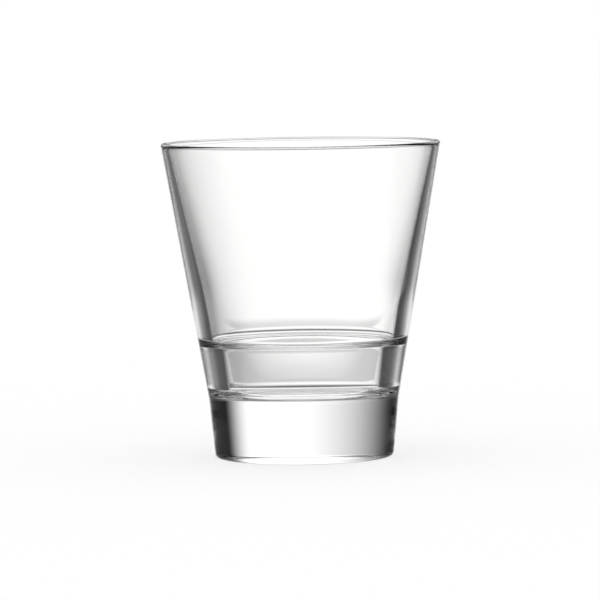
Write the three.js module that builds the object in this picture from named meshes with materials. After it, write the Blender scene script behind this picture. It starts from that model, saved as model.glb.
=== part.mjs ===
// Stacking rocks tumbler: one pressing of clear soda-lime glass, a solid of revolution about +Z.
// Millimetres, +Z up. The origin is the middle of the ring that the glass stands on.
import * as THREE from "three";

// Outside. Heights are from the table, and diameters are to the sharp corner before rounding.
const height = 100;
const rimDiameter = 89;
const creaseDiameter = 60.6;
const creaseHeight = 19;
const footDiameter = 57;

// Underside: a flat ring to stand on, round a shallow hollow.
const bearingRingInnerDiameter = 45;
const puntRise = 1.4;

// Inside: a tapered bowl that bends steeper above its ledge, the ledge for the foot of the next
// glass, and a narrower well below it. Walls are measured level, from the outside.
const rimWall = 1.9;
const bowlBendWall = 4.7;
const bowlBendHeight = 47;
const ledgeHeight = 37;
const stackingClearance = 0.3;
const wellMouthDiameter = 51.6;
const wellFloorDiameter = 47.6;
const wellFloorHeight = 20.2;
const wellFloorDish = 0.1;

// Radii of the rounded corners, and the most of a side that the two at its ends take between them.
const heelRounding = 1.4;
const creaseRounding = 0.8;
const rimRounding = 0.85;
const bowlBendRounding = 280;
const ledgeCornerRounding = 2.2;
const ledgeEdgeRounding = 0.8;
const wellCornerRounding = 4;
const roundedShare = 0.98;

// Facets: how many go round the glass, the most that an arc turns between two points, and the
// fewest that an arc is cut into.
const facetsRound = 96;
const arcStep = THREE.MathUtils.degToRad(20);
const fewestArcFacets = 3;

const corner = (radius, level, rounding) => ({ at: new THREE.Vector2(radius, level), rounding });

// Corners of the half section, from the standing ring up the outside and down the inside.
// The foot of a glass like this one drops onto the ledge, so the foot sizes the ledge.
function sectionCorners() {
  const rimRadius = rimDiameter / 2;
  const creaseRadius = creaseDiameter / 2;
  const footRadius = footDiameter / 2;
  const flare = (rimRadius - creaseRadius) / (height - creaseHeight);
  const outsideAtBend = creaseRadius + flare * (bowlBendHeight - creaseHeight);
  return [
    corner(bearingRingInnerDiameter / 2, 0, 0),
    corner(footRadius, 0, heelRounding),
    corner(creaseRadius, creaseHeight, creaseRounding),
    corner(rimRadius, height, rimRounding),
    corner(rimRadius - rimWall, height, rimRounding),
    corner(outsideAtBend - bowlBendWall, bowlBendHeight, bowlBendRounding),
    corner(footRadius + stackingClearance, ledgeHeight, ledgeCornerRounding),
    corner(wellMouthDiameter / 2, ledgeHeight, ledgeEdgeRounding),
    corner(wellFloorDiameter / 2, wellFloorHeight, wellCornerRounding),
    corner(0, wellFloorHeight, 0),
  ];
}

// Sides that meet at a corner, as vectors from it, and half of the angle between them.
function sidesAt(corners, i) {
  const back = corners[i - 1].at.clone().sub(corners[i].at);
  const ahead = corners[i + 1].at.clone().sub(corners[i].at);
  const halfAngle = Math.acos(back.dot(ahead) / (back.length() * ahead.length())) / 2;
  return { back, ahead, halfAngle };
}

// How far along its sides a corner's rounding goes where it has room.
function fullReach(corners, i) {
  const { rounding } = corners[i];
  return rounding > 0 ? rounding / Math.tan(sidesAt(corners, i).halfAngle) : 0;
}

// Adds the straight side up to a corner and the arc that rounds it. Where the roundings at both
// ends of a side are too long for it, they share it in proportion.
function addRoundedCorner(path, corners, i) {
  const { at } = corners[i];
  const wanted = fullReach(corners, i);
  if (wanted === 0) {
    path.lineTo(at.x, at.y);
    return;
  }
  const { back, ahead, halfAngle } = sidesAt(corners, i);
  const shareOf = (side, other) => (roundedShare * side.length() * wanted) / (wanted + other);
  const reach = Math.min(
    wanted,
    shareOf(back, fullReach(corners, i - 1)),
    shareOf(ahead, fullReach(corners, i + 1)),
  );
  const radius = reach * Math.tan(halfAngle);
  back.normalize();
  ahead.normalize();
  const start = at.clone().addScaledVector(back, reach);
  const end = at.clone().addScaledVector(ahead, reach);
  const towardsCentre = back.clone().add(ahead).normalize();
  const centre = at.clone().addScaledVector(towardsCentre, radius / Math.sin(halfAngle));
  const startAngle = start.sub(centre).angle();
  const endAngle = end.sub(centre).angle();
  path.absarc(centre.x, centre.y, radius, startAngle, endAngle, back.cross(ahead) > 0);
}

// Shallow arc that is level on the axis, from its edge to a middle that stands higher or lower.
function shallowArc(edgeRadius, edgeLevel, middleLevel) {
  const rise = middleLevel - edgeLevel;
  const radius = (edgeRadius ** 2 + rise ** 2) / (2 * Math.abs(rise));
  const centreLevel = middleLevel - Math.sign(rise) * radius;
  const middleAngle = (Math.sign(rise) * Math.PI) / 2;
  const edgeAngle = Math.atan2(edgeLevel - centreLevel, edgeRadius);
  return { radius, centreLevel, middleAngle, edgeAngle };
}

// Half section of the glass, from the hollow underside to the floor of the well, both on the axis.
function sectionPath() {
  const path = new THREE.Path();
  const corners = sectionCorners();
  const ring = corners[0].at;
  const punt = shallowArc(ring.x, ring.y, ring.y + puntRise);
  path.absarc(0, punt.centreLevel, punt.radius, punt.middleAngle, punt.edgeAngle, true);

  for (let i = 1; i < corners.length - 1; i++) {
    addRoundedCorner(path, corners, i);
  }

  const floorEdge = path.currentPoint;
  const dish = shallowArc(floorEdge.x, floorEdge.y, floorEdge.y - wellFloorDish);
  path.absarc(0, dish.centreLevel, dish.radius, dish.edgeAngle, dish.middleAngle, true);
  return path;
}

// Points along the half section: a straight side has its two ends, an arc as many as it needs.
function sectionPoints(path) {
  const points = [path.curves[0].getPoint(0)];
  for (const curve of path.curves) {
    const turn = curve.isEllipseCurve ? curve.getLength() / curve.xRadius : 0;
    const facets = turn > 0 ? Math.max(fewestArcFacets, Math.ceil(turn / arcStep)) : 1;
    points.push(...curve.getPoints(facets).slice(1));
  }
  return points;
}

// The glass turns its half section round +Z.
function makeTumbler() {
  const glass = new THREE.MeshStandardMaterial({
    color: 0xf1f5f3,
    roughness: 0.03,
    metalness: 0,
    transparent: true,
    opacity: 0.35,
  });
  glass.name = "clear_glass";
  const geometry = new THREE.LatheGeometry(sectionPoints(sectionPath()), facetsRound);
  geometry.rotateX(Math.PI / 2);
  const tumbler = new THREE.Mesh(geometry, glass);
  tumbler.name = "glass_tumbler";
  return tumbler;
}

const part = new THREE.Group();
part.name = "stacking_tumbler";
part.add(makeTumbler());

export default part;
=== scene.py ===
import bpy
import math
from mathutils import Matrix, Vector


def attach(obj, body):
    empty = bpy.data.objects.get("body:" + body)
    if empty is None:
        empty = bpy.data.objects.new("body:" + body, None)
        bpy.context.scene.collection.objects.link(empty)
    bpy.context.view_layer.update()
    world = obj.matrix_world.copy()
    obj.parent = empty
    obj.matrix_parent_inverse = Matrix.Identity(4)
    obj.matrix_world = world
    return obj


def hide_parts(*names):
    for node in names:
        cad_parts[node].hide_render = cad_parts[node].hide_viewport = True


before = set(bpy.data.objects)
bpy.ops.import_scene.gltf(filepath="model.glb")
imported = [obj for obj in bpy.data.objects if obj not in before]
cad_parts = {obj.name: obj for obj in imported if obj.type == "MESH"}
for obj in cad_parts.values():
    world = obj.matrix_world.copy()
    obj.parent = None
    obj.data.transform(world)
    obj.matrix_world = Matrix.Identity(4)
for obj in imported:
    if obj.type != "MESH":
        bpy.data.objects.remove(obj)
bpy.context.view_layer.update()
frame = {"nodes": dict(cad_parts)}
scene = bpy.context.scene
mm = 0.001
touching = 1e-6  # metres, closer than this is the same place
print("frame loaded:", ", ".join(frame["nodes"]))


def addNode(tree, kind, inputs=None, **settings):
    node = tree.nodes.new(kind)
    for name, value in settings.items():
        setattr(node, name, value)
    for key, value in (inputs or {}).items():
        if isinstance(value, bpy.types.NodeSocket):
            tree.links.new(value, node.inputs[key])
        else:
            node.inputs[key].default_value = value
    return node


def calc(tree, operation, *values):
    return addNode(tree, "ShaderNodeMath", dict(enumerate(values)), operation=operation).outputs[0]


def halfOf(tree, width):
    return calc(tree, "MULTIPLY", width, 0.5)


# the glass: sizes in millimetres, widths to the sharp corner before rounding
tumblerSizes = {
    "Height": 100.0,
    "Rim Width": 88.96,
    "Rim Wall": 1.9,
    "Rim Rounding": 0.85,
    "Bowl Bend Width": 61.0,
    "Bowl Bend Height": 47.0,  # the bowl runs steeper below this height
    "Bowl Bend Rounding": 280.0,
    "Crease Width": 60.6,
    "Crease Height": 19.0,
    "Crease Rounding": 0.8,
    "Foot Width": 57.0,
    "Heel Rounding": 1.4,
    "Standing Ring Inside": 45.0,
    "Punt Rise": 1.4,
    "Ledge Height": 37.0,
    "Stacking Clearance": 0.3,
    "Ledge Corner Rounding": 2.2,
    "Ledge Edge Rounding": 0.8,
    "Well Mouth Width": 51.6,
    "Well Floor Width": 47.6,
    "Well Floor Height": 20.2,
    "Well Corner Rounding": 4.0,
    "Well Floor Dish": 0.1,
    "Section Step": 1.0,  # longest edge along a straight side
}
tumblerCounts = {
    "Turn Steps": 224,
    "Rounding Steps": 14,
}


def pickByIndex(tree, kind, values):
    # one value for each corner of the section, in order
    pick = addNode(tree, "GeometryNodeIndexSwitch", data_type=kind)
    while len(pick.index_switch_items) < len(values):
        pick.index_switch_items.new()
    tree.links.new(addNode(tree, "GeometryNodeInputIndex").outputs[0], pick.inputs[0])
    for i, value in enumerate(values):
        if isinstance(value, bpy.types.NodeSocket):
            tree.links.new(value, pick.inputs[i + 1])
        else:
            pick.inputs[i + 1].default_value = value
    return pick.outputs[0]


def shallowBowl(tree, across, edge):
    # 1 in the middle, falling to 0 at the edge and outside it
    share = calc(tree, "DIVIDE", across, edge)
    fall = calc(tree, "SUBTRACT", 1.0, calc(tree, "POWER", share, 2.0))
    return calc(tree, "MAXIMUM", fall, 0.0)


def roundedCorners(tree, size):
    # from the middle of the underside, up the outside, down the inside, to the middle of the well's floor
    footRadius = halfOf(tree, size["Foot Width"])
    creaseRadius = halfOf(tree, size["Crease Width"])
    rimRadius = halfOf(tree, size["Rim Width"])
    rimInside = calc(tree, "SUBTRACT", rimRadius, size["Rim Wall"])
    bendRadius = halfOf(tree, size["Bowl Bend Width"])
    ledgeRadius = calc(tree, "ADD", footRadius, size["Stacking Clearance"])
    mouthRadius = halfOf(tree, size["Well Mouth Width"])
    floorRadius = halfOf(tree, size["Well Floor Width"])
    corners = [
        (0.0, 0.0, 0.0),
        (footRadius, 0.0, size["Heel Rounding"]),
        (creaseRadius, size["Crease Height"], size["Crease Rounding"]),
        (rimRadius, size["Height"], size["Rim Rounding"]),
        (rimInside, size["Height"], size["Rim Rounding"]),
        (bendRadius, size["Bowl Bend Height"], size["Bowl Bend Rounding"]),
        (ledgeRadius, size["Ledge Height"], size["Ledge Corner Rounding"]),
        (mouthRadius, size["Ledge Height"], size["Ledge Edge Rounding"]),
        (floorRadius, size["Well Floor Height"], size["Well Corner Rounding"]),
        (0.0, size["Well Floor Height"], 0.0),
    ]
    places = []
    roundings = []
    for radius, level, rounding in corners:
        places.append(addNode(tree, "ShaderNodeCombineXYZ", {"X": radius, "Z": level}).outputs[0])
        roundings.append(rounding)
    dots = addNode(tree, "GeometryNodePoints", {
        "Count": len(corners),
        "Position": pickByIndex(tree, "VECTOR", places),
    })
    sharp = addNode(tree, "GeometryNodePointsToCurves", {0: dots.outputs[0]})
    rounded = addNode(tree, "GeometryNodeFilletCurve", {
        "Curve": sharp.outputs[0],
        "Count": size["Rounding Steps"],
        "Radius": pickByIndex(tree, "FLOAT", roundings),
        "Limit Radius": True,
    }, mode="POLY")
    return rounded.outputs[0]


def buildSection(tree, size):
    # straight sides are cut into short steps, so that smooth shading stays flat along them
    here = addNode(tree, "GeometryNodeInputPosition").outputs[0]
    index = addNode(tree, "GeometryNodeInputIndex").outputs[0]
    nextPlace = addNode(tree, "GeometryNodeFieldAtIndex", {
        "Index": calc(tree, "ADD", index, 1.0),
        "Value": here,
    }, data_type="FLOAT_VECTOR", domain="POINT").outputs[0]
    side = addNode(tree, "ShaderNodeVectorMath", {0: here, 1: nextPlace}, operation="DISTANCE")
    steps = calc(tree, "DIVIDE", side.outputs["Value"], size["Section Step"])
    fine = addNode(tree, "GeometryNodeSubdivideCurve", {
        "Curve": roundedCorners(tree, size),
        "Cuts": calc(tree, "FLOOR", steps),
    })

    # the underside rises to a shallow punt, and the well's floor dips to its middle
    split = addNode(tree, "ShaderNodeSeparateXYZ", {0: here})
    across = split.outputs["X"]
    level = split.outputs["Z"]
    puntEdge = halfOf(tree, size["Standing Ring Inside"])
    puntRise = calc(tree, "MULTIPLY", shallowBowl(tree, across, puntEdge), size["Punt Rise"])
    onUnderside = calc(tree, "LESS_THAN", level, touching)
    punt = calc(tree, "MULTIPLY", puntRise, onUnderside)
    floorRadius = halfOf(tree, size["Well Floor Width"])
    dishEdge = calc(tree, "SUBTRACT", floorRadius, size["Well Corner Rounding"])
    dishDepth = calc(tree, "MULTIPLY", shallowBowl(tree, across, dishEdge), size["Well Floor Dish"])
    onFloor = calc(tree, "COMPARE", level, size["Well Floor Height"], touching)
    dish = calc(tree, "MULTIPLY", dishDepth, onFloor)
    lift = addNode(tree, "ShaderNodeCombineXYZ", {"Z": calc(tree, "SUBTRACT", punt, dish)})
    section = addNode(tree, "GeometryNodeSetPosition", {
        "Geometry": fine.outputs[0],
        "Offset": lift.outputs[0],
    })
    return section.outputs[0]


def buildTumblerTree(glass):
    tree = bpy.data.node_groups.new("turnedTumbler", "GeometryNodeTree")
    tree.interface.new_socket("Geometry", in_out="OUTPUT", socket_type="NodeSocketGeometry")
    sockets = {}
    for name in tumblerSizes:
        sockets[name] = tree.interface.new_socket(name, in_out="INPUT", socket_type="NodeSocketFloat")
    for name in tumblerCounts:
        sockets[name] = tree.interface.new_socket(name, in_out="INPUT", socket_type="NodeSocketInt")
    size = addNode(tree, "NodeGroupInput").outputs
    section = buildSection(tree, size)

    # a grid with one row for each point of the section, bent round the axis
    measured = addNode(tree, "GeometryNodeAttributeDomainSize", {0: section}, component="CURVE")
    rowLength = calc(tree, "ADD", size["Turn Steps"], 1.0)
    grid = addNode(tree, "GeometryNodeMeshGrid", {
        "Vertices X": measured.outputs["Point Count"],
        "Vertices Y": rowLength,
    })
    index = addNode(tree, "GeometryNodeInputIndex").outputs[0]
    row = calc(tree, "FLOOR", calc(tree, "DIVIDE", calc(tree, "ADD", index, 0.5), rowLength))
    column = calc(tree, "SUBTRACT", index, calc(tree, "MULTIPLY", row, rowLength))
    angle = calc(tree, "DIVIDE", calc(tree, "MULTIPLY", column, 2 * math.pi), size["Turn Steps"])
    sample = addNode(tree, "GeometryNodeSampleIndex", {
        "Geometry": section,
        "Value": addNode(tree, "GeometryNodeInputPosition").outputs[0],
        "Index": row,
    }, data_type="FLOAT_VECTOR", domain="POINT")
    point = addNode(tree, "ShaderNodeSeparateXYZ", {0: sample.outputs[0]})
    turned = addNode(tree, "ShaderNodeCombineXYZ", {
        "X": calc(tree, "MULTIPLY", point.outputs["X"], calc(tree, "COSINE", angle)),
        "Y": calc(tree, "MULTIPLY", point.outputs["X"], calc(tree, "SINE", angle)),
        "Z": point.outputs["Z"],
    })
    spun = addNode(tree, "GeometryNodeSetPosition", {
        "Geometry": grid.outputs["Mesh"],
        "Position": turned.outputs[0],
    })
    closed = addNode(tree, "GeometryNodeMergeByDistance", {
        "Geometry": spun.outputs[0],
        "Distance": touching,
    })
    outward = addNode(tree, "GeometryNodeFlipFaces", {"Mesh": closed.outputs[0]})
    smooth = addNode(tree, "GeometryNodeSetShadeSmooth", {"Geometry": outward.outputs[0]})
    realized = addNode(tree, "GeometryNodeRealizeInstances", {"Geometry": smooth.outputs[0]})
    finished = addNode(tree, "GeometryNodeSetMaterial", {
        "Geometry": realized.outputs[0],
        "Material": glass,
    })
    addNode(tree, "NodeGroupOutput", {0: finished.outputs[0]})
    return tree, sockets


def makeTumbler(glass):
    tree, sockets = buildTumblerTree(glass)
    tumbler = bpy.data.objects.new("tumblerGlass", bpy.data.meshes.new("tumblerBlank"))
    scene.collection.objects.link(tumbler)
    turning = tumbler.modifiers.new("turning", "NODES")
    turning.node_group = tree
    for name, value in tumblerSizes.items():
        turning[sockets[name].identifier] = value * mm
    for name, value in tumblerCounts.items():
        turning[sockets[name].identifier] = value
    depsgraph = bpy.context.evaluated_depsgraph_get()
    mesh = bpy.data.meshes.new_from_object(tumbler.evaluated_get(depsgraph))
    tumbler.modifiers.remove(turning)
    tumbler.data = mesh
    mesh.name = "tumblerGlass"
    return tumbler


# clear glass with faint smudges and a slight wave in its surface
glassFinish = {
    "index": 1.52,
    "tint": (0.999, 1.0, 0.996),
    "smudgeScale": 38.0,
    "smudgeDetail": 3.0,
    "smudgeEdge": (0.5, 0.75),  # where in the noise a smudge begins and is full
    "smoothest": 0.0,
    "smudged": 0.02,
    "waveScale": 70.0,
    "waveDetail": 0.0,
    "waveHeight": 0.00002,
}


def makeGlass():
    material = bpy.data.materials.new("clearGlass")
    material.use_nodes = True
    tree = material.node_tree
    shader = tree.nodes["Principled BSDF"]
    shader.inputs["Base Color"].default_value = (*glassFinish["tint"], 1.0)
    shader.inputs["IOR"].default_value = glassFinish["index"]
    shader.inputs["Transmission Weight"].default_value = 1.0
    coords = addNode(tree, "ShaderNodeTexCoord").outputs["Object"]
    smudge = addNode(tree, "ShaderNodeTexNoise", {
        "Vector": coords,
        "Scale": glassFinish["smudgeScale"],
        "Detail": glassFinish["smudgeDetail"],
    })
    rough = addNode(tree, "ShaderNodeMapRange", {
        "Value": smudge.outputs["Fac"],
        "From Min": glassFinish["smudgeEdge"][0],
        "From Max": glassFinish["smudgeEdge"][1],
        "To Min": glassFinish["smoothest"],
        "To Max": glassFinish["smudged"],
    })
    tree.links.new(rough.outputs["Result"], shader.inputs["Roughness"])
    wave = addNode(tree, "ShaderNodeTexNoise", {
        "Vector": coords,
        "Scale": glassFinish["waveScale"],
        "Detail": glassFinish["waveDetail"],
    })
    bump = addNode(tree, "ShaderNodeBump", {
        "Height": wave.outputs["Fac"],
        "Strength": 1.0,
        "Distance": glassFinish["waveHeight"],
    })
    tree.links.new(bump.outputs["Normal"], shader.inputs["Normal"])
    return material


tumbler = makeTumbler(makeGlass())
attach(tumbler, "root")
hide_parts("glass_tumbler")
print("tumbler turned:", len(tumbler.data.polygons), "faces")

# the studio: a white paper floor, and soft cards round the glass
studio = {
    "floorSize": 16.0,
    "floorTone": 1.0,
    "evenness": 0.55,  # how much of the floor's light, as the camera sees it, is the same all over
    "shade": 0.1,  # how dark the glass makes the light that comes through it to the floor
}


def makeFloor():
    reach = studio["floorSize"] / 2
    corners = [(-reach, -reach, 0), (reach, -reach, 0), (reach, reach, 0), (-reach, reach, 0)]
    mesh = bpy.data.meshes.new("paperFloor")
    mesh.from_pydata(corners, [], [(0, 1, 2, 3)])
    floor = bpy.data.objects.new("paperFloor", mesh)
    scene.collection.objects.link(floor)
    paper = bpy.data.materials.new("whitePaper")
    paper.use_nodes = True
    tree = paper.node_tree
    paperColor = (studio["floorTone"],) * 3 + (1.0,)
    shader = tree.nodes["Principled BSDF"]
    shader.inputs["Base Color"].default_value = paperColor
    shader.inputs["Roughness"].default_value = 1.0
    shader.inputs["Specular IOR Level"].default_value = 0.0
    # for the camera the paper is partly lit evenly, which keeps the glass's shade faint
    evenly = addNode(tree, "ShaderNodeEmission", {"Color": paperColor, "Strength": 1.0})
    seen = addNode(tree, "ShaderNodeLightPath").outputs["Is Camera Ray"]
    mixed = addNode(tree, "ShaderNodeMixShader", {
        0: calc(tree, "MULTIPLY", seen, studio["evenness"]),
        1: shader.outputs[0],
        2: evenly.outputs[0],
    })
    tree.links.new(mixed.outputs[0], tree.nodes["Material Output"].inputs["Surface"])
    mesh.materials.append(paper)
    floor.visible_transmission = False  # in the glass, the floor is one of the cards
    floor.visible_glossy = False
    return floor


# what shows in the glass: cards painted one over another, in degrees
# turn is to the right of straight behind, side is to either side of it, and rise is above level
# each edge goes from where the card begins to where it is full
# bow lets a card sink to both sides, by so many degrees for each squared degree of turn
seenThrough = {
    "tone": 1.15,
    "cards": [
        {"name": "panel", "tone": 1.5, "rise": [(8.5, 9.5)]},
        {"name": "ceiling", "tone": 0.6, "rise": [(40, 55)]},
        {"name": "horizon", "tone": 0.7, "rise": [(-3.6, -3.1), (-1.1, -2.0)]},
        {"name": "farTable", "tone": 0.8, "turn": [(-13, -7), (14, 8)], "bow": 0.015,
         "rise": [(-5.3, -4.7), (-4.4, -4.6)]},
        {"name": "leftCard", "tone": 0.0, "turn": [(-104, -74), (9, -61)], "rise": [(-5, -1.5), (48, 36)]},
        {"name": "leftSkirt", "tone": 0.1, "turn": [(-90, -72), (2, -34)], "rise": [(-21, -14), (-3, -5)]},
        {"name": "rightCard", "tone": 0.0, "turn": [(24, 46), (96, 70)], "rise": [(-20, -14), (48, 37)]},
        {"name": "tableEdge", "tone": 0.12, "turn": [(-60, -40), (60, 40)],
         "rise": [(-24, -17), (-8, -15.5)]},
        {"name": "ownShade", "tone": 0.65, "turn": [(-19, -6), (20, 7)], "rise": [(-62, -55), (-27, -34)]},
    ],
}
seenReflected = {
    "tone": 0.18,
    "cards": [
        {"name": "upperSides", "tone": 0.48, "side": [(60, 76)], "rise": [(7, 10), (18, 13)]},
        {"name": "sideFloor", "tone": 0.7, "side": [(41, 53)], "rise": [(-16, -17.5)]},
        {"name": "frontFloor", "tone": 0.6, "side": [(140, 160)], "rise": [(-34, -28), (-17, -21)]},
        {"name": "leftDark", "tone": 0.08, "turn": [(-112, -96), (-30, -43)], "rise": [(-26, -20), (34, 22)]},
        {"name": "rightDark", "tone": 0.06, "turn": [(24, 38), (110, 95)], "rise": [(-18, -16), (36, 23)]},
        {"name": "panel", "tone": 1.4, "turn": [(-48, -10), (48, 33)], "rise": [(1, 12), (35, 19)]},
        {"name": "lowPanel", "tone": 1.2, "turn": [(-27, -7), (28, 8)], "rise": [(-20, -11), (2, -4)]},
        {"name": "floor", "tone": 0.95, "rise": [(-23, -42)]},
        {"name": "ownShade", "tone": 0.45, "turn": [(-20, -8), (19, 8)], "rise": [(-58, -50), (-32, -41)]},
    ],
}


def blend(tree, share, under, over, label=""):
    inputs = {0: share, 2: under, 3: over}
    return addNode(tree, "ShaderNodeMix", inputs, data_type="FLOAT", label=label).outputs[0]


def paintCards(tree, way, seen):
    tone = seen["tone"]
    for card in seen["cards"]:
        along = dict(way)
        if "bow" in card:
            drop = calc(tree, "MULTIPLY", calc(tree, "POWER", way["side"], 2.0), card["bow"])
            along["rise"] = calc(tree, "ADD", way["rise"], drop)
        share = 1.0
        for direction in ("turn", "side", "rise"):
            for begins, full in card.get(direction, []):
                edge = addNode(tree, "ShaderNodeMapRange", {
                    "Value": along[direction],
                    "From Min": begins,
                    "From Max": full,
                }, interpolation_type="SMOOTHSTEP").outputs["Result"]
                share = calc(tree, "MULTIPLY", share, edge)
        tone = blend(tree, share, tone, card["tone"], card["name"])
    return tone


def makeSurroundings():
    world = bpy.data.worlds.new("studio")
    scene.world = world
    world.use_nodes = True
    world.cycles.sampling_method = "NONE"
    tree = world.node_tree
    tree.nodes.clear()
    coords = addNode(tree, "ShaderNodeTexCoord").outputs["Generated"]
    ray = addNode(tree, "ShaderNodeSeparateXYZ", {0: coords}).outputs
    turn = calc(tree, "DEGREES", calc(tree, "ARCTAN2", ray["X"], ray["Y"]))
    way = {
        "turn": turn,
        "side": calc(tree, "ABSOLUTE", turn),
        "rise": calc(tree, "DEGREES", calc(tree, "ARCSINE", ray["Z"])),
    }
    path = addNode(tree, "ShaderNodeLightPath").outputs
    reflected = calc(tree, "MINIMUM", path["Glossy Depth"], 1.0)
    straight = paintCards(tree, way, seenThrough)
    inGlass = blend(tree, reflected, straight, paintCards(tree, way, seenReflected))
    # the camera and the floor see plain white, and the floor under the glass a little of its shade
    fromFloor = calc(tree, "MINIMUM", path["Diffuse Depth"], 1.0)
    lit = calc(tree, "MULTIPLY", fromFloor, 1.0 - studio["shade"])
    plain = calc(tree, "MAXIMUM", path["Is Camera Ray"], path["Is Diffuse Ray"])
    light = blend(tree, calc(tree, "MAXIMUM", plain, lit), inGlass, 1.0)
    background = addNode(tree, "ShaderNodeBackground", {"Color": light, "Strength": 1.0})
    addNode(tree, "ShaderNodeOutputWorld", {"Surface": background.outputs[0]})


makeFloor()
makeSurroundings()
print("studio ready:", len(seenThrough["cards"]) + len(seenReflected["cards"]), "cards")

# camera: a little above the rim, rolled slightly as in the photograph
view = {
    "distance": 1.478,
    "height": 0.1554,
    "aim": (-0.0008, 0.0, 0.0497),
    "roll": -0.8,
    "lens": 279.8,
    "sensor": 36.0,
    "farthest": 100.0,
}
cameraData = bpy.data.cameras.new("photoCamera")
cameraData.sensor_width = view["sensor"]
cameraData.lens = view["lens"]
cameraData.clip_end = view["farthest"]
camera = bpy.data.objects.new("photoCamera", cameraData)
scene.collection.objects.link(camera)
camera.location = (0.0, -view["distance"], view["height"])
aim = (Vector(view["aim"]) - camera.location).to_track_quat("-Z", "Y").to_matrix()
roll = Matrix.Rotation(math.radians(view["roll"]), 3, "Z")
camera.rotation_euler = (aim @ roll).to_euler()
scene.camera = camera

# light passes many walls of thick glass, and what is reflected too often in it stays dark
lightPaths = {
    "longest": 32,
    "through": 32,
    "reflected": 10,
}
scene.view_settings.view_transform = "Standard"
scene.cycles.max_bounces = lightPaths["longest"]
scene.cycles.transmission_bounces = lightPaths["through"]
scene.cycles.glossy_bounces = lightPaths["reflected"]
print("camera set")
